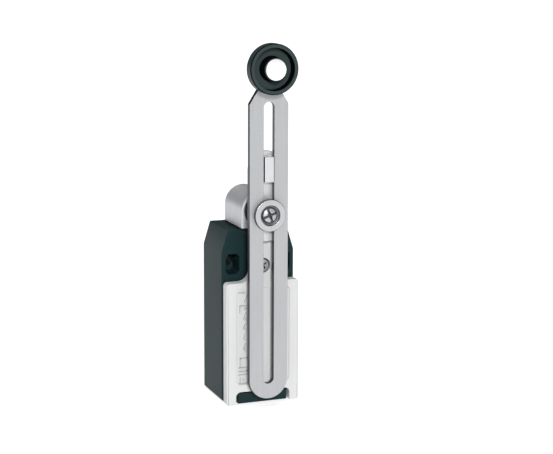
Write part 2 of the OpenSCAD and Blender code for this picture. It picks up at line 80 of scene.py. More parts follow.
ahead = Vector((
    -math.sin(camera_turn) * math.cos(camera_rise),
    math.cos(camera_turn) * math.cos(camera_rise),
    -math.sin(camera_rise),
))
across = Vector((math.cos(camera_turn), math.sin(camera_turn), 0.0))
upward = across.cross(ahead)
camera_right = math.cos(camera_roll) * across + math.sin(camera_roll) * upward
camera_up = math.cos(camera_roll) * upward - math.sin(camera_roll) * across
camera_place = camera_aim - camera_distance * ahead
camera_data = bpy.data.cameras.new("camera")
camera_data.sensor_width = sensor_width
camera_data.lens = sensor_width * focal_pixels / frame_pixels
camera_data.clip_start = 0.01
camera_data.clip_end = 60.0
camera = bpy.data.objects.new("camera", camera_data)
turned = Matrix((camera_right, camera_up, -ahead)).transposed().to_4x4()
camera.matrix_world = Matrix.Translation(camera_place) @ turned
scene.collection.objects.link(camera)
scene.camera = camera


# Body
# Glass-filled plastic, moulded in one piece with a fine spark-eroded grain all over.
# It carries the head on top, the contact block inside and the cable entry below.
class Socket:
    """One output among a material's nodes. Arithmetic on it adds Math nodes."""

    def __init__(self, tree, output=None):
        self.tree = tree
        self.output = output

    def node(self, kind, settings, inputs, result=0):
        made = self.tree.nodes.new(kind)
        for key, value in settings.items():
            setattr(made, key, value)
        for key, value in inputs.items():
            if isinstance(value, Socket):
                self.tree.links.new(value.output, made.inputs[key])
            else:
                made.inputs[key].default_value = value
        return Socket(self.tree, made.outputs[result])

    def maths(self, operation, *values):
        return self.node("ShaderNodeMath", {"operation": operation}, dict(enumerate(values)))

    def __add__(self, other):
        return self.maths("ADD", self, other)

    def __radd__(self, other):
        return self.maths("ADD", other, self)

    def __sub__(self, other):
        return self.maths("SUBTRACT", self, other)

    def __rsub__(self, other):
        return self.maths("SUBTRACT", other, self)

    def __mul__(self, other):
        return self.maths("MULTIPLY", self, other)

    def __rmul__(self, other):
        return self.maths("MULTIPLY", other, self)

    def above(self, low, high):
        """0 up to low, 1 from high, and smooth between them."""
        return self.node("ShaderNodeMapRange", {"interpolation_type": "SMOOTHSTEP"},
                         {"Value": self, "From Min": low, "From Max": high})

    def blend(self, first, second):
        """The colour that goes from first to second as this value goes from 0 to 1."""
        return self.node("ShaderNodeMix", {"data_type": "RGBA"}, {0: self, 6: first, 7: second}, 2)

    def scaled(self, x, y, z):
        """This place, stretched by a factor along each axis."""
        return self.node("ShaderNodeVectorMath", {"operation": "MULTIPLY"}, {0: self, 1: (x, y, z)})

    def noise(self, scale, detail=3.0, rough=0.5):
        return self.node("ShaderNodeTexNoise", {}, {"Vector": self, "Scale": scale, "Detail": detail,
                                                    "Roughness": rough})

    def bump(self, depth):
        return self.node("ShaderNodeBump", {}, {"Height": self, "Distance": depth})


def rgb(red, green, blue):
    return (red, green, blue, 1.0)


def new_finish(name, constants):
    """A material, a starting socket in it and its shader, with the shader's fixed values set."""
    made = bpy.data.materials.new(name)
    made.use_nodes = True
    shader = made.node_tree.nodes["Principled BSDF"]
    for key, value in constants.items():
        shader.inputs[key].default_value = value
    return made, Socket(made.node_tree), shader


def connect(shader, feeds):
    for key, value in feeds.items():
        value.tree.links.new(value.output, shader.inputs[key])


def moulded(name, dark, light, rough, grain, depth, constants):
    """Moulded plastic: soft flow marks, a fine grain of the mould's surface and slight gloss changes."""
    made, start, shader = new_finish(name, constants)
    place = start.node("ShaderNodeTexCoord", {}, {}, "Object")
    flow = place.scaled(1.0, 1.0, 0.35).noise(95.0, 4.0)
    fine = place.noise(grain, 2.0, 0.6)
    speck = place.noise(grain * 0.23, 2.0).above(0.55, 0.72)
    tone = flow * 0.65 + fine * 0.35
    connect(shader, {
        "Base Color": (tone + speck * 0.08).blend(dark, light),
        "Roughness": flow * 0.10 + fine * 0.14 + (rough - 0.12),
        "Normal": (fine + speck * 0.5).bump(depth),
    })
    return made


def settle(obj):
    """Smooth shading that stays flat on the flat faces, and crisp where faces meet sharply."""
    obj.data.shade_smooth()
    obj.data.set_sharp_from_angle(angle=math.radians(38.0))
    obj.modifiers.new("flat faces", "WEIGHTED_NORMAL").keep_sharp = True


def dress(node, made, edge, joined=True):
    """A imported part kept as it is, with its material. Its edges are rounded by edge, in millimetres.

    joined: flat facets become one face. The body's front has holes that this would spoil."""
    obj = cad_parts[node]
    obj.data.materials.clear()
    obj.data.materials.append(made)
    weld = obj.modifiers.new("weld", "WELD")
    weld.merge_threshold = 0.002 * MM
    if joined:
        flat = obj.modifiers.new("flat", "DECIMATE")
        flat.decimate_type = "DISSOLVE"
        flat.angle_limit = math.radians(0.6)
    if edge:
        soft = obj.modifiers.new("edge", "BEVEL")
        soft.width = edge * MM
        soft.segments = 3
        soft.limit_method = "ANGLE"
        soft.angle_limit = math.radians(32.0)
        soft.use_clamp_overlap = False
        soft.miter_outer = "MITER_ARC"
        soft.harden_normals = True
    obj.modifiers.new("flat faces", "WEIGHTED_NORMAL")
    obj.data.shade_smooth()
    return obj


def put(obj, made, body, slot_name, *nodes):
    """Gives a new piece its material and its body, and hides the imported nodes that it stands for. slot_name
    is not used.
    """
    obj.data.materials.append(made)
    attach(obj, body)
    if nodes:
        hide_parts(*nodes)
    return obj


def corners(node):
    """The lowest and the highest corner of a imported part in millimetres, to the tenth."""
    return [[round(value / MM, 1) for value in corner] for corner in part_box(node)]


def new_piece(name, points, faces):
    """A mesh from points in millimetres, its faces turned outwards."""
    mesh = bpy.data.meshes.new(name)
    mesh.from_pydata([Vector(p) * MM for p in points], [], faces)
    shape = bmesh.new()
    shape.from_mesh(mesh)
    bmesh.ops.recalc_face_normals(shape, faces=shape.faces)
    shape.to_mesh(mesh)
    shape.free()
    obj = bpy.data.objects.new(name, mesh)
    scene.collection.objects.link(obj)
    return obj


def coil(name, centre, low, length, radius, section, turns, per_turn, gathered):
    """A wire or a thread wound up the height, closer towards both ends as gathered grows.

    section is its cross-section, as (outward, upward) points."""
    points = []
    faces = []
    count = len(section)
    steps = int(per_turn * turns)
    for i in range(steps + 1):
        share = i / steps
        turn = 2.0 * math.pi * turns * share
        rise = share - gathered * math.sin(2.0 * math.pi * share) / (2.0 * math.pi)
        for out, up in section:
            reach = radius + out
            points.append((centre[0] + reach * math.cos(turn), centre[1] + reach * math.sin(turn),
                           low + length * rise + up))
    for i in range(steps):
        for k in range(count):
            after = (k + 1) % count
            faces.append((i * count + k, (i + 1) * count + k, (i + 1) * count + after, i * count + after))
    faces.append(tuple(range(count)))
    faces.append(tuple(steps * count + k for k in reversed(range(count))))
    obj = new_piece(name, points, faces)
    settle(obj)
    return obj


body_finish = moulded("body plastic", rgb(0.0068, 0.0180, 0.0195), rgb(0.0120, 0.0300, 0.0315),
                      rough=0.42, grain=5200.0, depth=0.016 * MM, constants={"Specular IOR Level": 0.062})
dress("body", body_finish, 0.22, joined=False)

# Ribs in the two fixing pockets: small half-round ridges moulded along the depth.
# They centre the head of the fixing screw.
rib_radius = 0.34
rib_front = 21.9
rib_back = 14.1
rib_sides = 12
rib_taper = 0.5
rib_nose = 0.12
pocket_x = 10.5
rib_places = [(1.45, 3.95), (0.35, 3.98), (-0.75, 3.98), (-2.72, 1.9), (-2.74, 0.7)]
rib_points = []
rib_faces = []
for side in (-1, 1):
    for from_middle, up_pocket in rib_places:
        rib_x = side * (pocket_x + from_middle)
        first = len(rib_points)
        rings = ((rib_back, rib_radius), (rib_front - rib_taper, rib_radius), (rib_front, rib_nose))
        for depth, reach in rings:
            for k in range(rib_sides):
                turn = 2.0 * math.pi * k / rib_sides
                rib_points.append((rib_x + reach * math.cos(turn), -depth,
                                   up_pocket + reach * math.sin(turn)))
        for ring in range(len(rings) - 1):
            for k in range(rib_sides):
                a = first + ring * rib_sides + k
                b = first + ring * rib_sides + (k + 1) % rib_sides
                rib_faces.append((a, b, b + rib_sides, a + rib_sides))
        rib_faces.append(tuple(first + k for k in range(rib_sides)))
        rib_faces.append(tuple(first + 2 * rib_sides + k for k in range(rib_sides)))
pocket_ribs = new_piece("pocket_ribs", rib_points, rib_faces)
settle(pocket_ribs)
put(pocket_ribs, body_finish, "root", "body_plastic")

# Thread of the cable entry: an M20 thread of 1.5 mm pitch, moulded in the body's bottom.
# Its crests are flat, and its flanks slope gently so that it leaves the mould.
entry_place = (0.0, -12.0)
thread_low = -54.0
thread_turns = 6.0
thread_pitch = 1.5
thread_radius = 9.24
thread_section = [(0.0, -0.62), (-0.36, -0.09), (-0.36, 0.09), (0.0, 0.62), (0.12, 0.0)]
entry_thread = coil("entry_thread", entry_place, thread_low, thread_turns * thread_pitch, thread_radius,
                    thread_section, thread_turns, per_turn=72, gathered=0.0)
put(entry_thread, body_finish, "root", "body_plastic")


# Floor and light
# A seamless white floor that glows a little, a wide soft light overhead, a smaller one
# in front and a white room that gives only a dim light.
floor_level = cad_low[2]
floor_reach = 9.0
floor_mesh = bpy.data.meshes.new("floor")
floor_corners = [(side * floor_reach, end * floor_reach, floor_level)
                 for side, end in ((-1, -1), (1, -1), (1, 1), (-1, 1))]
floor_mesh.from_pydata(floor_corners, [], [(0, 1, 2, 3)])
floor = bpy.data.objects.new("floor", floor_mesh)
scene.collection.objects.link(floor)
floor_finish, floor_start, floor_shader = new_finish("floor", {"Specular IOR Level": 0.0, "Roughness": 0.9,
                                                              "Emission Strength": 0.60})
floor_place = floor_start.node("ShaderNodeTexCoord", {}, {}, "Object")
floor_tone = floor_place.noise(3.0, 2.0)
connect(floor_shader, {"Base Color": floor_tone.blend(rgb(0.62, 0.62, 0.62), rgb(0.64, 0.64, 0.64)),
                       "Emission Color": floor_tone.blend(rgb(0.99, 0.99, 0.99), rgb(1.0, 1.0, 1.0))})
floor_mesh.materials.append(floor_finish)

room = bpy.data.worlds.new("room")
room.use_nodes = True
scene.world = room
room_nodes = Socket(room.node_tree)
room.node_tree.nodes.clear()
room_light = room_nodes.node("ShaderNodeBackground", {}, {"Color": rgb(1.0, 1.0, 1.0), "Strength": 0.12})
room_wall = room_nodes.node("ShaderNodeBackground", {}, {"Color": rgb(1.0, 1.0, 1.0), "Strength": 1.0})
room_seen = room_nodes.node("ShaderNodeLightPath", {}, {}, "Is Camera Ray")
room_mixed = room_nodes.node("ShaderNodeMixShader", {}, {0: room_seen, 1: room_light, 2: room_wall})
room_out = room.node_tree.nodes.new("ShaderNodeOutputWorld")
room.node_tree.links.new(room_mixed.output, room_out.inputs["Surface"])
scene.view_settings.view_transform = "Standard"


def sun(name, towards, strength, softness):
    """A distant soft light: towards points from the switch to the light."""
    data = bpy.data.lights.new(name, "SUN")
    data.energy = strength
    data.angle = math.radians(softness)
    lamp = bpy.data.objects.new(name, data)
    lamp.rotation_euler = Vector(towards).to_track_quat("Z", "Y").to_euler()
    scene.collection.objects.link(lamp)


sun("overhead", (-0.08, 0.15, 1.0), strength=1.90, softness=70.0)
sun("front", (-0.21, -0.90, 0.37), strength=2.85, softness=11.0)


# Contact block and its lid
# The insulating housing of the contacts and the small lid that shuts its chamber.
# Both are moulded in a pale heat-resistant plastic and snap together.
block_finish = moulded("block plastic", rgb(0.50, 0.47, 0.39), rgb(0.62, 0.59, 0.50),
                       rough=0.46, grain=4200.0, depth=0.012 * MM, constants={"Specular IOR Level": 0.4})
dress("contact_block", block_finish, 0.15)
dress("contact_block_lid", block_finish, 0.1)


# Terminals
# Four stamped brass contact arms, each with a riveted tip, tin plated where the wire goes.
# Each lies on the block's front under its clamp.
def metal(name, dark, light, rough, stretch, grain, depth, metallic=1.0):
    """Worked metal: streaks along the axis that stretch makes small, a fine grain and a little tarnish."""
    made, start, shader = new_finish(name, {"Metallic": metallic})
    place = start.node("ShaderNodeTexCoord", {}, {}, "Object")
    streak = place.scaled(*stretch).noise(grain, 3.0, 0.6)
    cloud = place.noise(130.0, 3.0)
    spot = place.noise(900.0, 2.0).above(0.60, 0.78)
    connect(shader, {
        "Base Color": (streak * 0.6 + cloud * 0.5 - spot * 0.25).blend(dark, light),
        "Roughness": streak * 0.16 + cloud * 0.10 + spot * 0.08 + (rough - 0.13),
        "Normal": (streak + spot * 0.2).bump(depth),
    })
    return made


brass_finish = metal("tin plated brass", rgb(0.50, 0.36, 0.16), rgb(0.78, 0.64, 0.38),
                     rough=0.32, stretch=(1.0, 1.0, 0.12), grain=2600.0, depth=0.006 * MM)
for name in ("nc_terminal_left", "nc_terminal_right", "no_terminal_left", "no_terminal_right"):
    dress(name, brass_finish, 0.08)


# Terminal screws and clamps
# Zinc-plated M3.5 screws with a cross recess, each with a square steel plate that grips the wire.
# The screws' ends are threaded.
zinc_finish = metal("bright zinc", rgb(0.31, 0.32, 0.335), rgb(0.53, 0.545, 0.565),
                    rough=0.47, stretch=(1.0, 1.0, 1.0), grain=1800.0, depth=0.006 * MM, metallic=0.65)


def rounded(points, steps=4):
    """The closed outline through points (a, b, radius), each corner rounded by its radius."""
    outline = []
    for i, (a, b, radius) in enumerate(points):
        corner = Vector((a, b))
        if radius <= 0.0:
            outline.append(corner)
            continue
        before = Vector(points[i - 1][:2]) - corner
        after = Vector(points[(i + 1) % len(points)][:2]) - corner
        room_left = 0.49 * min(before.length, after.length)
        before.normalize()
        after.normalize()
        half = before.angle(after) / 2.0
        cut = min(radius / math.tan(half), room_left)
        true_radius = cut * math.tan(half)
        centre = corner + (before + after).normalized() * (true_radius / math.sin(half))
        first = corner + before * cut - centre
        last = corner + after * cut - centre
        from_turn = math.atan2(first.y, first.x)
        swing = (math.atan2(last.y, last.x) - from_turn + math.pi) % (2.0 * math.pi) - math.pi
        for k in range(steps + 1):
            turn = from_turn + swing * k / steps
            outline.append(centre + true_radius * Vector((math.cos(turn), math.sin(turn))))
    return outline


def lathe(name, outline, axis_x=0.0, axis_other=0.0, upright=False, sides=72):
    """A turned piece from a closed outline of (radius, distance) points.

    distance is the depth in front of the mounting face, or the height when upright."""
    points = []
    rings = []
    for radius, along in outline:
        count = 1 if radius < 1e-6 else sides
        rings.append(range(len(points), len(points) + count))
        for k in range(count):
            turn = 2.0 * math.pi * k / sides
            out_x = axis_x + radius * math.cos(turn)
            out_other = axis_other + radius * math.sin(turn)
            points.append((out_x, out_other, along) if upright else (out_x, -along, out_other))
    faces = []
    for i, ring in enumerate(rings):
        following = rings[(i + 1) % len(rings)]
        if len(ring) == 1 and len(following) == 1:
            continue
        for k in range(sides):
            after = (k + 1) % sides
            if len(ring) == 1:
                faces.append((ring[0], following[k], following[after]))
            elif len(following) == 1:
                faces.append((ring[k], ring[after], following[0]))
            else:
                faces.append((ring[k], ring[after], following[after], following[k]))
    return new_piece(name, points, faces)


def bake_mesh(obj):
    """Applies the object's modifiers to its mesh."""
    bpy.context.view_layer.update()
    mesh = bpy.data.meshes.new_from_object(obj.evaluated_get(bpy.context.evaluated_depsgraph_get()))
    obj.modifiers.clear()
    obj.data = mesh


def carve(obj, cutter, edge=0.05):
    """Cuts the cutter out of obj and breaks the sharp edges that this leaves."""
    cut = obj.modifiers.new("cut", "BOOLEAN")
    cut.operation = "DIFFERENCE"
    cut.solver = "EXACT"
    cut.object = cutter
    bake_mesh(obj)
    bpy.data.objects.remove(cutter)
    break_edges(obj, edge)
    return obj


def break_edges(obj, edge):
    """Breaks the sharp edges by edge, in millimetres."""
    soft = obj.modifiers.new("edge", "BEVEL")
    soft.width = edge * MM
    soft.segments = 2
    soft.limit_method = "ANGLE"
    soft.angle_limit = math.radians(38.0)
    bake_mesh(obj)
    settle(obj)


def cross_cutter(centre, turn, arm, half, bottom, narrow):
    """A tapered cross that starts a little above the screw's face.

    centre is its (x, y, z) on that face, bottom its depth and narrow the scale of its end."""
    above = 0.4
    cross = [(arm, half), (half, half), (half, arm), (-half, arm), (-half, half), (-arm, half),
             (-arm, -half), (-half, -half), (-half, -arm), (half, -arm), (half, -half), (arm, -half)]
    points = []
    for depth, scale in ((-above, 1.0 + above * (1.0 - narrow) / bottom), (bottom, narrow)):
        for a, b in cross:
            u = scale * (a * math.cos(turn) - b * math.sin(turn))
            v = scale * (a * math.sin(turn) + b * math.cos(turn))
            points.append((centre[0] + u, centre[1] + depth, centre[2] + v))
    count = len(cross)
    faces = [(k, (k + 1) % count, count + (k + 1) % count, count + k) for k in range(count)]
    faces += [tuple(range(count)), tuple(range(count, 2 * count))]
    return new_piece("cutter", points, faces)


def threaded(radius, first, last, pitch, deep):
    """The side of a threaded shank from first to last, as the points of a turned outline."""
    points = []
    count = max(1, int(abs(last - first) / pitch))
    step = (last - first) / count
    for k in range(count):
        at = first + k * step
        points += [(radius - deep, at + 0.1 * step), (radius, at + 0.42 * step), (radius, at + 0.58 * step),
                   (radius - deep, at + 0.9 * step)]
    return [Vector(p) for p in points]


def join(name, parts):
    """One piece from several."""
    shape = bmesh.new()
    for part in parts:
        shape.from_mesh(part.data)
        bpy.data.objects.remove(part)
    mesh = bpy.data.meshes.new(name)
    shape.to_mesh(mesh)
    shape.free()
    obj = bpy.data.objects.new(name, mesh)
    scene.collection.objects.link(obj)
    settle(obj)
    return obj


def cross_screw(name, x, z, shank, tip, seat, head, front, arm, half, deep, turn, pitch=0.6):
    """A screw along the depth, with a low domed head and a cross recess turned by turn.

    shank and head are radii. tip, seat and front are depths: its end, the head's underside and its top.
    arm and half are half the recess's span and the width of its arms, deep its depth."""
    dome = 0.14 * head
    recess_taper = 0.62
    outline = [Vector((0.0, tip)), Vector((shank * 0.7, tip)), Vector((shank * 0.85, tip + 0.3))]
    outline += threaded(shank, tip + 0.4, seat - 0.3, pitch, 0.12 * shank)
    outline += rounded([(shank * 0.9, seat, 0.0), (head, seat, 0.1), (head, front - 2.0 * dome, 0.25),
                        (head * 0.86, front - 0.9 * dome, 0.5), (head * 0.5, front - 0.2 * dome, 0.8),
                        (0.0, front, 0.0)])
    return carve(lathe(name, outline, x, z),
                 cross_cutter((x, -front, z), turn, arm, half, deep, recess_taper))


terminal_x = 8.9
terminal_rows = ((-13.5, 0.3), (-25.0, 1.1))
screws = []
for side in (-1, 1):
    for z, turn in terminal_rows:
        screws.append(cross_screw("screw", side * terminal_x, z, shank=1.7, tip=11.5, seat=18.6, head=2.9,
                                  front=20.6, arm=1.7, half=0.36, deep=1.1, turn=turn * side))
put(join("terminal_screws_set", screws), zinc_finish, "root", "bright_steel", "terminal_screws")
dress("terminal_clamps", zinc_finish, 0.12)


# Plunger, bridge and contact springs
# The red plunger carries the brass bridge in its window, and a small spring presses the bridge up.
# A second spring lifts the plunger off the floor of the chamber.
plunger_finish = moulded("plunger plastic", rgb(0.30, 0.022, 0.016), rgb(0.42, 0.035, 0.026),
                         rough=0.34, grain=3600.0, depth=0.008 * MM, constants={"Specular IOR Level": 0.5})
dress("contact_plunger", plunger_finish, 0.12)
dress("moving_contact", brass_finish, 0.06)
spring_finish = metal("spring wire", rgb(0.42, 0.43, 0.46), rgb(0.68, 0.69, 0.72),
                      rough=0.24, stretch=(1.0, 1.0, 1.0), grain=3200.0, depth=0.004 * MM)
pusher_low, pusher_high = corners("pusher")
pusher_y = (pusher_low[1] + pusher_high[1]) / 2.0


def spring(name, node, body, radius, wire, turns):
    """Makes a spring of round wire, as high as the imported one, and returns it with its lower end's place.

    radius goes to the middle of the wire, and wire is the wire's own radius."""
    wire_sides = 12
    turns_round = [2.0 * math.pi * k / wire_sides for k in range(wire_sides)]
    ring = [(wire * math.cos(turn), wire * math.sin(turn)) for turn in turns_round]
    low, high = (corner[2] for corner in corners(node))
    wound = coil(name, (0.0, pusher_y), low + wire, high - low - 2.0 * wire, radius, ring, turns,
                 per_turn=36, gathered=0.35)
    put(wound, spring_finish, body, "bright_steel", node)
    return wound, (0, pusher_y * MM, low * MM)


spring("bridge_spring", "contact_spring", "contacts", radius=0.95, wire=0.17, turns=6.0)
plunger_spring, plunger_spring_foot = spring("plunger_spring", "return_spring", "root",
                                             radius=1.6, wire=0.2, turns=8.0)
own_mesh(plunger_spring)


# Pusher and its spring
# A turned acetal mushroom that the cam presses down, and the wire spring that lifts it again.
# Its stem runs in the body.
pusher_finish = moulded("pusher plastic", rgb(0.52, 0.48, 0.36), rgb(0.64, 0.60, 0.47),
                        rough=0.30, grain=3000.0, depth=0.005 * MM, constants={"Specular IOR Level": 0.5})
foot = pusher_low[2]
crown = pusher_high[2]
tip_reach = 1.4
stem_reach = 2.0
cap_reach = 3.9
pusher_outline = rounded([
    (0.0, foot, 0.0), (tip_reach - 0.3, foot, 0.2), (tip_reach, foot + 0.3, 0.2),
    (tip_reach, foot + 2.5, 0.1), (stem_reach, foot + 3.1, 0.2), (stem_reach, crown - 1.6, 0.25),
    (cap_reach, crown - 1.6, 0.3), (cap_reach, crown - 0.6, 0.5), (cap_reach - 1.2, crown, 0.9),
    (0.0, crown, 0.0)], 6)
turned_pusher = lathe("turned_pusher", pusher_outline, 0.0, pusher_y, upright=True)
settle(turned_pusher)
put(turned_pusher, pusher_finish, "pusher", "pusher_plastic", "pusher")
head_spring, head_spring_foot = spring("head_spring", "pusher_spring", "root",
                                       radius=3.1, wire=0.35, turns=6.0)
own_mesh(head_spring)


# Gaskets and seal
# Black nitrile rubber: a flat gasket under the head, the shaped one behind the cover
# and the lip seal round the shaft.
rubber_finish = moulded("black rubber", rgb(0.006, 0.0065, 0.0065), rgb(0.016, 0.017, 0.017),
                        rough=0.62, grain=3300.0, depth=0.014 * MM, constants={"Specular IOR Level": 0.3})
dress("head_gasket", rubber_finish, 0.12)
dress("cover_gasket", rubber_finish, 0.25)
shaft_height = 21.0
seal_bore = 3.08
seal_radius = 6.3
seal_back = 22.8
seal_front = 24.5
seal_outline = rounded([
    (seal_bore, seal_back, 0.1), (seal_radius, seal_back, 0.2), (seal_radius, seal_front - 0.3, 0.25),
    (seal_radius - 0.9, seal_front, 0.25), (4.6, seal_front - 0.35, 0.2), (3.9, seal_front - 0.35, 0.2),
    (3.4, seal_front, 0.15), (seal_bore, seal_front, 0.1)])
lip_seal = lathe("lip_seal", seal_outline, 0.0, shaft_height)
settle(lip_seal)
put(lip_seal, rubber_finish, "root", "rubber_black", "shaft_seal")


# Head
# An arch of die-cast zinc, fine blasted and left bare. It holds the bush and the seal,
# and four screws from inside the body pull it down on its gasket. Their heads are left plain.
cast_finish = metal("die-cast zinc", rgb(0.42, 0.43, 0.45), rgb(0.62, 0.635, 0.655),
                    rough=0.46, stretch=(1.0, 0.5, 1.0), grain=2400.0, depth=0.012 * MM, metallic=0.65)
dress("head", cast_finish, 0.18)
fixing_x = 4.8
fixing_rows = (-5.6, -19.4)
fixing_tip = 18.0
fixing_seat = 9.0
fixing_top = 7.2
fixing_reach = 2.05
fixing_screws = []
for side in (-1, 1):
    for y in fixing_rows:
        outline = [Vector((0.0, fixing_tip)), Vector((0.9, fixing_tip))]
        outline += threaded(1.25, fixing_tip - 0.4, fixing_seat + 0.3, pitch=0.55, deep=0.16)
        outline += rounded([(1.15, fixing_seat, 0.0), (fixing_reach, fixing_seat, 0.1),
                            (fixing_reach, fixing_top + 0.3, 0.35), (1.2, fixing_top, 0.3),
                            (0.0, fixing_top, 0.0)])
        blank = lathe("blank", outline, side * fixing_x, y, upright=True, sides=48)
        break_edges(blank, 0.03)
        fixing_screws.append(blank)
put(join("head_screws_set", fixing_screws), zinc_finish, "root", "bright_steel", "head_fixing_screws")


# Shaft, bush, cam, pin and circlip
# A ground steel shaft in a sintered bronze bush, with a cam fixed by a cross pin
# and a circlip behind the bush that keeps it in.
ground_finish = metal("ground steel", rgb(0.48, 0.49, 0.52), rgb(0.72, 0.73, 0.76),
                      rough=0.22, stretch=(0.3, 1.0, 0.3), grain=3000.0, depth=0.003 * MM)
bronze_finish = metal("sintered bronze", rgb(0.30, 0.17, 0.06), rgb(0.56, 0.36, 0.15),
                      rough=0.44, stretch=(1.0, 1.0, 1.0), grain=4200.0, depth=0.012 * MM)
dark_finish = metal("phosphated steel", rgb(0.055, 0.056, 0.060), rgb(0.15, 0.15, 0.16),
                    rough=0.48, stretch=(1.0, 1.0, 1.0), grain=3800.0, depth=0.006 * MM)
dress("lever_shaft", ground_finish, 0.12)
dress("shaft_cam", ground_finish, 0.12)
dress("cam_pin", dark_finish, 0.1)
dress("shaft_circlip", dark_finish, 0.06)
bush_bore = 3.05
bush_radius = 4.0
bush_back = 17.0
bush_outline = rounded([(bush_bore, bush_back, 0.3), (bush_radius, bush_back, 0.25),
                        (bush_radius, seal_back, 0.25), (bush_bore, seal_back, 0.3)])
pressed_bush = lathe("pressed_bush", bush_outline, 0.0, shaft_height)
settle(pressed_bush)
put(pressed_bush, bronze_finish, "root", "bronze", "shaft_bush")


# Lever carrier
# A zinc-plated steel plate pressed on the shaft's end. A lug bent forwards from it lies in the
# lever's slot and stops the lever from turning on the clamp screw. Its cut sides are painted near black:
# their sheared tone and painted shade.
carrier_finish, carrier_start, carrier_shader = new_finish("carrier zinc", {"Metallic": 0.75})
carrier_place = carrier_start.node("ShaderNodeTexCoord", {}, {}, "Object")
carrier_facing = carrier_start.node("ShaderNodeSeparateXYZ", {}, {
    0: carrier_start.node("ShaderNodeTexCoord", {}, {}, "Normal")}, "X")
carrier_edge = (carrier_facing * carrier_facing).above(0.80, 0.95)
carrier_streak = carrier_place.scaled(1.0, 1.0, 0.15).noise(2200.0, 3.0, 0.6)
carrier_cloud = carrier_place.noise(130.0, 3.0)
plated = (carrier_streak * 0.6 + carrier_cloud * 0.4).blend(rgb(0.52, 0.53, 0.545), rgb(0.70, 0.71, 0.725))
# The cut sides are painted near black: their sheared tone and painted shade.
sheared_with_painted_shade = (carrier_streak * 0.8 + carrier_cloud * 0.2).blend(rgb(0.030, 0.031, 0.034),
                                                             rgb(0.10, 0.102, 0.108))
connect(carrier_shader, {
    "Base Color": carrier_edge.blend(plated, sheared_with_painted_shade),
    "Roughness": carrier_streak * 0.14 + carrier_cloud * 0.10 + carrier_edge * 0.08 + 0.30,
    "Normal": (carrier_streak + carrier_edge * 0.3).bump(0.005 * MM),
})
dress("lever_carrier", carrier_finish, 0.2)


# Lever
# A flat stainless blade, blanked from sheet and satin ground along its length.
# Its blanked edges and the walls of the slot are slightly torn, and painted near black: their own sheared
# tone and painted shade.
lever_low, lever_high = corners("lever")
roller_low, roller_high = corners("roller")
lever_back = -lever_high[1]
lever_front = -lever_low[1]
lever_half = lever_high[0]
tail_centre = lever_low[2] + lever_half
pin_height = (roller_low[2] + roller_high[2]) / 2.0
tip_radius = lever_high[2] - pin_height
shoulder_height = 63.4
neck_height = 68.9
slot_half = 2.15
slot_low = -45.9
slot_high = 64.4
pin_radius = 2.5
lever_edge = 0.14


def arc(x, z, radius, first, last, steps):
    """Points of an arc, its turns in degrees."""
    turns = (math.radians(first + (last - first) * k / steps) for k in range(steps + 1))
    return [(x + radius * math.cos(t), z + radius * math.sin(t)) for t in turns]


def circle(x, z, radius):
    """Points all round a circle, 7.5 degrees apart."""
    return arc(x, z, radius, 0.0, 352.5, 47)


def blank_plate(name, outlines, back, front, edge):
    """A plate cut to the first outline with the others as holes, its edges rounded by edge."""
    curve = bpy.data.curves.new(name, "CURVE")
    curve.dimensions = "2D"
    curve.fill_mode = "BOTH"
    curve.extrude = ((front - back) / 2.0 - edge) * MM
    curve.bevel_depth = edge * MM
    curve.bevel_resolution = 2
    curve.offset = -edge * MM
    for outline in outlines:
        line = curve.splines.new("POLY")
        line.points.add(len(outline) - 1)
        for point, (x, z) in zip(line.points, outline):
            point.co = (x * MM, z * MM, 0.0, 1.0)
        line.use_cyclic_u = True
    flat = bpy.data.objects.new(name + " outline", curve)
    scene.collection.objects.link(flat)
    bpy.context.view_layer.update()
    mesh = bpy.data.meshes.new_from_object(flat.evaluated_get(bpy.context.evaluated_depsgraph_get()))
    bpy.data.objects.remove(flat)
    middle = Vector((0.0, -(front + back) / 2.0 * MM, 0.0))
    mesh.transform(Matrix.Translation(middle) @ Matrix.Rotation(math.radians(90.0), 4, "X"))
    shape = bmesh.new()
    shape.from_mesh(mesh)
    bmesh.ops.remove_doubles(shape, verts=shape.verts, dist=0.001 * MM)
    bmesh.ops.dissolve_limit(shape, angle_limit=math.radians(0.5), verts=shape.verts, edges=shape.edges)
    bmesh.ops.recalc_face_normals(shape, faces=shape.faces)
    shape.to_mesh(mesh)
    shape.free()
    mesh.name = name
    mesh.materials.clear()
    obj = bpy.data.objects.new(name, mesh)
    scene.collection.objects.link(obj)
    settle(obj)
    return obj


shoulder = [(lever_half, shoulder_height), (lever_half - 0.08, shoulder_height + 0.3),
            (tip_radius + 0.3, neck_height - 0.5), (tip_radius, neck_height)]
lever_outline = arc(0.0, tail_centre, lever_half, 180.0, 360.0, 48)
lever_outline += shoulder
lever_outline += arc(0.0, pin_height, tip_radius, 0.0, 180.0, 32)
lever_outline += [(-x, z) for x, z in reversed(shoulder)]
slot_outline = arc(0.0, slot_low + slot_half, slot_half, 180.0, 360.0, 24)
slot_outline += arc(0.0, slot_high - slot_half, slot_half, 0.0, 180.0, 24)
blade = blank_plate("lever_blade", [lever_outline, slot_outline, circle(0.0, pin_height, pin_radius)],
                    lever_back, lever_front, lever_edge)

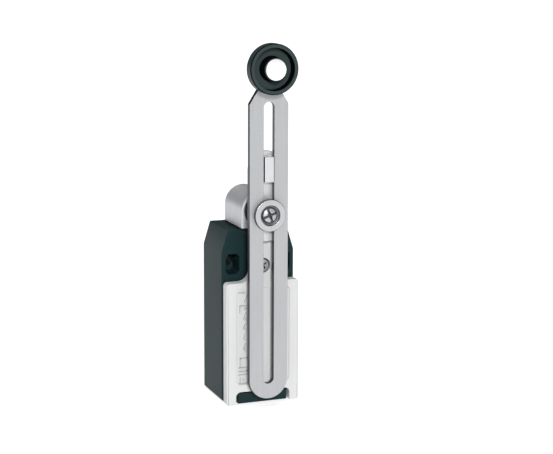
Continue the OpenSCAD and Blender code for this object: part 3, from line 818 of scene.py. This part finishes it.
satin_finish, satin_start, satin_shader = new_finish("satin steel", {"Metallic": 1.0})
satin_place = satin_start.node("ShaderNodeTexCoord", {}, {}, "Object")
ground_lines = satin_place.scaled(1.0, 0.2, 0.012).noise(5200.0, 4.0, 0.65)
long_lines = satin_place.scaled(1.0, 0.2, 0.03).noise(900.0, 2.0)
handling = satin_place.scaled(1.0, 1.0, 0.5).noise(60.0, 4.0)
scuff = satin_place.scaled(1.0, 1.0, 0.2).noise(420.0, 3.0).above(0.62, 0.75)
connect(satin_shader, {
    "Base Color": (ground_lines * 0.55 + long_lines * 0.2 + handling * 0.3).blend(
        rgb(0.362, 0.371, 0.383), rgb(0.520, 0.529, 0.540)),
    "Roughness": ground_lines * 0.16 + handling * 0.12 + scuff * 0.06 + 0.38,
    "Normal": (ground_lines + long_lines * 0.4).bump(0.008 * MM),
})
# Far darker than sheared steel: this colour also paints shade on side walls and in recesses.
sheared_edge_and_painted_shade = metal("sheared edge and painted shade", rgb(0.030, 0.031, 0.034), rgb(0.095, 0.097, 0.103),
                       rough=0.42, stretch=(1.0, 0.15, 1.0), grain=2600.0, depth=0.012 * MM)
put(blade, satin_finish, "lever_arm", "lever_steel", "lever")
blade.data.materials.append(sheared_edge_and_painted_shade)
for face in blade.data.polygons:
    face.material_index = 1 if abs(face.normal.y) < 0.3 else 0


# Clamp washer and screw
# A turned steel cup washer with a key that lies in the slot, and the cross-recessed screw
# in its hollow that clamps the lever to its carrier.
# Dark zinc that paints shade in hollows and on the edges of screw heads.
painted_shade_zinc = metal("zinc with painted shade", rgb(0.080, 0.083, 0.088), rgb(0.21, 0.215, 0.225),
                    rough=0.42, stretch=(1.0, 1.0, 1.0), grain=2200.0, depth=0.006 * MM)
cup_low, cup_high = corners("clamp_washer")
cup_radius = cup_high[0]
cup_bore = 2.15
cup_hollow = 4.0
cup_back = lever_front + 0.01
cup_floor = lever_front + 0.5
cup_front = -cup_low[1]
axis_height = (cup_low[2] + cup_high[2]) / 2.0
cup_outline = rounded([
    (cup_bore, cup_back, 0.1), (cup_radius, cup_back, 0.15), (cup_radius, cup_front, 0.22),
    (cup_hollow, cup_front, 0.12), (cup_hollow, cup_floor, 0.2), (cup_bore, cup_floor, 0.1)])
cup = lathe("cup", cup_outline, 0.0, axis_height, sides=96)
settle(cup)
key_half = 2.05
key_reach = 4.5
key_edge = 0.1
key_corners = [(side * key_half, axis_height + up * key_reach, 0.5)
               for side, up in ((-1, -1), (1, -1), (1, 1), (-1, 1))]
key_points = [tuple(p) for p in rounded(key_corners)]
key = blank_plate("key", [key_points, circle(0.0, axis_height, cup_bore)],
                  -cup_high[1], lever_front + key_edge, key_edge)
bake_mesh(cup)
bake_mesh(key)
turned_finish, turned_start, turned_shader = new_finish("turned steel", {"Metallic": 1.0})
turned_place = turned_start.node("ShaderNodeTexCoord", {}, {}, "Object")
from_axis = turned_start.node("ShaderNodeVectorMath", {"operation": "SUBTRACT"},
                              {0: turned_place, 1: (0.0, 0.0, axis_height * MM)})
tool_radius = turned_start.node("ShaderNodeVectorMath", {"operation": "LENGTH"},
                                {0: from_axis.scaled(1.0, 0.0, 1.0)}, "Value")
tool_marks = turned_start.node("ShaderNodeTexNoise", {"noise_dimensions": "1D"},
                               {"W": tool_radius * 9000.0, "Detail": 2.0, "Scale": 1.0})
turned_cloud = turned_place.noise(260.0, 3.0)
connect(turned_shader, {
    "Base Color": (tool_marks * 0.5 + turned_cloud * 0.5).blend(rgb(0.43, 0.44, 0.45), rgb(0.62, 0.63, 0.64)),
    "Roughness": tool_marks * 0.14 + turned_cloud * 0.12 + 0.22,
    "Normal": tool_marks.bump(0.006 * MM),
})
cup_washer = put(join("cup_washer", [cup, key]), turned_finish, "shaft", "lever_steel", "clamp_washer")
cup_washer.data.materials.append(sheared_edge_and_painted_shade)
cup_washer.data.materials.append(painted_shade_zinc)
# The washer's outer side and its hollow are painted dark: painted shade.
for face in cup_washer.data.polygons:
    from_middle = math.hypot(face.center.x, face.center.z - axis_height * MM)
    outside = from_middle > (cup_radius - 0.2) * MM and abs(face.normal.y) < 0.9
    hollow = from_middle < (cup_hollow - 0.03) * MM
    face.material_index = 1 if outside else 2 if hollow else 0


def paint_recess_shade(screw, x, z, front, reach, head):
    """Paints shade as a dark colour in a screw's recess, within reach, and on the head's edge, beyond head.
    """
    screw.data.materials.append(sheared_edge_and_painted_shade)
    screw.data.materials.append(painted_shade_zinc)
    for face in screw.data.polygons:
        from_middle = math.hypot(face.center.x - x * MM, face.center.z - z * MM)
        recess = from_middle < reach * MM and face.center.y > -(front - 0.25) * MM
        face.material_index = 1 if recess else 2 if from_middle > head * MM else 0


clamp_low, clamp_high = corners("clamp_screw")
clamp_front = -clamp_low[1]
clamp_screw = cross_screw("clamping_screw", 0.0, axis_height, shank=2.0, tip=-clamp_high[1], seat=cup_floor,
                          head=clamp_high[0], front=clamp_front, arm=2.0, half=0.5, deep=0.85,
                          turn=math.radians(20.0), pitch=0.7)
star = cross_cutter((0.0, -clamp_front, axis_height), math.radians(65.0), arm=1.5, half=0.18,
                    bottom=0.4, narrow=0.7)
carve(clamp_screw, star, 0.03)
put(clamp_screw, zinc_finish, "shaft", "bright_steel", "clamp_screw")
# Its recess and the edge of its head are painted dark: painted shade.
paint_recess_shade(clamp_screw, 0.0, axis_height, clamp_front, reach=2.4, head=2.5)


# Roller, its washer and pin
# A moulded dark plastic roller with a hollow face and a standing hub. Its faces are turned smooth.
# The hollow's walls and the rim's corner are painted near black and its tread darker, as painted shade.
# It runs on a riveted steel pin with a flat polished head, over a thin washer.
hub_stand = 0.8
hollow_depth = 3.6
roller_back = -roller_high[1]
roller_hub = -roller_low[1]
roller_front = roller_hub - hub_stand
roller_floor = roller_front - hollow_depth
roller_radius = 9.65
roller_bore = 2.55
roller_outline = rounded([
    (roller_bore, roller_back, 0.2), (4.6, roller_back, 0.15), (5.0, roller_back + 0.3, 0.2),
    (roller_radius - 1.9, roller_back + 0.3, 0.2), (roller_radius - 1.5, roller_back, 0.2),
    (roller_radius - 0.3, roller_back, 0.15), (roller_radius, roller_back + 0.3, 0.15),
    (roller_radius, roller_front - 0.45, 0.1), (roller_radius - 0.4, roller_front, 0.1),
    (roller_radius - 1.6, roller_front, 0.15), (roller_radius - 1.8, roller_floor, 0.3),
    (4.8, roller_floor, 0.3), (4.25, roller_hub, 0.2), (roller_bore, roller_hub, 0.2)], 5)
roller_finish, roller_start, roller_shader = new_finish("roller plastic", {"Specular IOR Level": 0.06})
roller_place = roller_start.node("ShaderNodeTexCoord", {}, {}, "Object")
from_pin = roller_start.node("ShaderNodeVectorMath", {"operation": "SUBTRACT"},
                             {0: roller_place, 1: (0.0, 0.0, pin_height * MM)})
roller_reach = roller_start.node("ShaderNodeVectorMath", {"operation": "LENGTH"},
                                 {0: from_pin.scaled(1.0, 0.0, 1.0)}, "Value")
ring_marks = roller_start.node("ShaderNodeTexNoise", {"noise_dimensions": "1D"},
                               {"W": roller_reach * 5200.0, "Detail": 3.0, "Scale": 1.0})
roller_cloud = roller_place.noise(320.0, 3.0)
roller_grain = roller_place.noise(4200.0, 2.0)
# The outer rim is painted darker as painted shade, and made a little rougher.
rim_painted_shade = roller_reach.above((roller_radius - 0.35) * MM, (roller_radius - 0.02) * MM)
connect(roller_shader, {
    "Base Color": (ring_marks * 0.35 + roller_cloud * 0.45 - rim_painted_shade * 0.6).blend(
        rgb(0.0230, 0.0345, 0.0355), rgb(0.0470, 0.0640, 0.0655)),
    "Roughness": ring_marks * 0.10 + roller_grain * 0.10 + rim_painted_shade * 0.06 + 0.20,
    "Normal": (ring_marks * 0.6 + roller_grain * 0.4).bump(0.008 * MM),
})
roller_wheel = lathe("roller_wheel", roller_outline, 0.0, pin_height, sides=128)
settle(roller_wheel)
put(roller_wheel, roller_finish, "roller", "roller_plastic", "roller")
roller_painted_shade = moulded("roller painted shade", rgb(0.0008, 0.0010, 0.0011), rgb(0.0020, 0.0026, 0.0028),
                        rough=0.60, grain=4200.0, depth=0.008 * MM, constants={"Specular IOR Level": 0.04})
roller_wheel.data.materials.append(roller_painted_shade)
# The hollow's walls and the rim's front corner take the near-black colour: painted shade.
for face in roller_wheel.data.polygons:
    from_middle = math.hypot(face.center.x, face.center.z - pin_height * MM)
    wall = abs(face.normal.y) < 0.8 and face.center.y < -(roller_floor + 0.05) * MM
    hollow = 4.1 * MM < from_middle < (roller_radius - 1.5) * MM and face.center.y > -(roller_hub - 0.15) * MM
    corner = from_middle > (roller_radius - 0.38) * MM and face.center.y < -(roller_front - 0.42) * MM
    face.material_index = 1 if wall and (hollow or corner) else 0

side_play = 0.1
washer_bore = 2.52
washer_radius = 4.0
washer_front = roller_back - side_play
washer_outline = rounded([(washer_bore, lever_front, 0.06), (washer_radius, lever_front, 0.1),
                          (washer_radius, washer_front, 0.1), (washer_bore, washer_front, 0.06)])
thin_washer = lathe("thin_washer", washer_outline, 0.0, pin_height)
settle(thin_washer)
put(thin_washer, zinc_finish, "lever_arm", "bright_steel", "roller_washer")

pin_low, pin_high = corners("roller_pin")
pin_front = -pin_low[1]
pin_end = -pin_high[1]
pin_head = pin_front - 0.8
head_radius = 4.0
rivet_radius = 3.4
pin_outline = rounded([
    (0.0, pin_end, 0.0), (1.9, pin_end, 0.6), (rivet_radius, pin_end + 0.45, 0.4),
    (rivet_radius, lever_back, 0.08), (pin_radius, lever_back, 0.05), (pin_radius, pin_head, 0.05),
    (head_radius, pin_head, 0.12), (head_radius, pin_front, 0.22), (0.0, pin_front, 0.0)], 5)
polished_finish, polished_start, polished_shader = new_finish("polished steel", {"Metallic": 0.5})
polished_place = polished_start.node("ShaderNodeTexCoord", {}, {}, "Object")
hairline = polished_place.scaled(0.2, 1.0, 1.0).noise(6000.0, 2.0)
polished_cloud = polished_place.noise(400.0, 3.0)
connect(polished_shader, {
    "Base Color": (hairline * 0.4 + polished_cloud * 0.6).blend(rgb(0.90, 0.90, 0.91), rgb(0.98, 0.98, 0.98)),
    "Roughness": hairline * 0.05 + polished_cloud * 0.06 + 0.16,
    "Normal": hairline.bump(0.0008 * MM),
})
polished_pin = lathe("polished_pin", pin_outline, 0.0, pin_height, sides=96)
settle(polished_pin)
put(polished_pin, polished_finish, "lever_arm", "polished_steel", "roller_pin")


# Cover
# A shallow light grey moulding, held by one captive screw. A recessed panel on its front
# carries raised contact signs.
cover_finish = moulded("cover plastic", rgb(0.51, 0.515, 0.515), rgb(0.57, 0.575, 0.575),
                       rough=0.40, grain=2600.0, depth=0.006 * MM, constants={"Specular IOR Level": 0.22})
dress("cover", cover_finish, 0.16)

# Contact signs: a closed and an open contact with their terminal marks, the same on both halves
# of the panel. They are moulded with the cover, and their slanted sides are painted darker as painted shade.
panel_floor = 27.8
line_height = 0.42
line_half = 0.19
line_root = 0.05
sign_lines = [
    [(-9.5, -18.2), (-9.5, -15.5), (-7.4, -15.5), (-7.4, -16.9), (-6.4, -16.9)],
    [(-9.9, -10.3), (-9.0, -10.3)],
    [(-8.4, -10.3), (-7.6, -10.3)],
    [(-6.6, -11.6), (-7.5, -13.9)],
    [(-7.0, -18.4), (-7.9, -20.6), (-7.0, -21.6)],
    [(-7.1, -22.6), (-8.0, -24.4), (-7.1, -25.6)],
    [(-7.2, -26.6), (-7.9, -28.6), (-7.1, -29.6)],
    [(-7.3, -30.8), (-7.9, -32.8), (-7.0, -34.2)],
    [(-9.4, -40.0), (-9.4, -36.6), (-6.4, -36.6)],
    [(-9.9, -40.4), (-6.4, -40.4)],
    [(-9.9, -41.9), (-6.4, -41.9)],
    [(-9.9, -43.3), (-6.4, -43.3)],
    [(-9.4, -46.6), (-9.4, -44.6)],
    [(-8.2, -45.2), (-7.4, -46.4)],
    [(-9.9, -46.9), (-6.4, -46.9)],
]
sign_points = []
sign_faces = []


def raised_line(start, end, side):
    """One raised stroke with slanted sides, from start to end on the panel's half at side."""
    along = (Vector(end) - Vector(start)).normalized()
    outward = Vector((-along.y, along.x))
    first = len(sign_points)
    for depth, half in ((panel_floor - line_root, line_half), (panel_floor + line_height, line_half * 0.6)):
        for corner, reach in ((start, -half), (end, half)):
            for sign in (-1, 1):
                p = Vector(corner) + along * reach + outward * (sign * half)
                sign_points.append((side * p.x, -depth, p.y))
    for face in ((0, 1, 3, 2), (4, 5, 7, 6), (0, 1, 5, 4), (2, 3, 7, 6), (0, 2, 6, 4), (1, 3, 7, 5)):
        sign_faces.append(tuple(first + k for k in face))


for side in (1, -1):
    for line in sign_lines:
        for start, end in zip(line, line[1:]):
            raised_line(start, end, side)
contact_signs = new_piece("contact_signs", sign_points, sign_faces)
settle(contact_signs)
put(contact_signs, cover_finish, "root", "cover_plastic")
sign_side_shade = moulded("cover plastic painted shade", rgb(0.15, 0.15, 0.155), rgb(0.24, 0.24, 0.245),
                        rough=0.50, grain=2600.0, depth=0.006 * MM, constants={"Specular IOR Level": 0.3})
contact_signs.data.materials.append(sign_side_shade)
# Slanted sides take the darker grey: painted shade.
for face in contact_signs.data.polygons:
    face.material_index = 0 if abs(face.normal.y) > 0.9 else 1

# Cover screw: a captive zinc-plated screw with a cross recess, sunk in the cover's tongue.
# It pulls the cover on its gasket.
cover_screw_front = 28.0
cover_screw = cross_screw("cover_captive_screw", 0.0, 0.0, shank=1.45, tip=17.0, seat=26.3, head=2.75,
                          front=cover_screw_front, arm=1.75, half=0.36, deep=1.0, turn=math.radians(35.0))
put(cover_screw, zinc_finish, "root", "bright_steel", "cover_screw")
# Its recess and the edge of its head are painted dark: painted shade.
paint_recess_shade(cover_screw, 0.0, 0.0, cover_screw_front, reach=2.0, head=2.35)
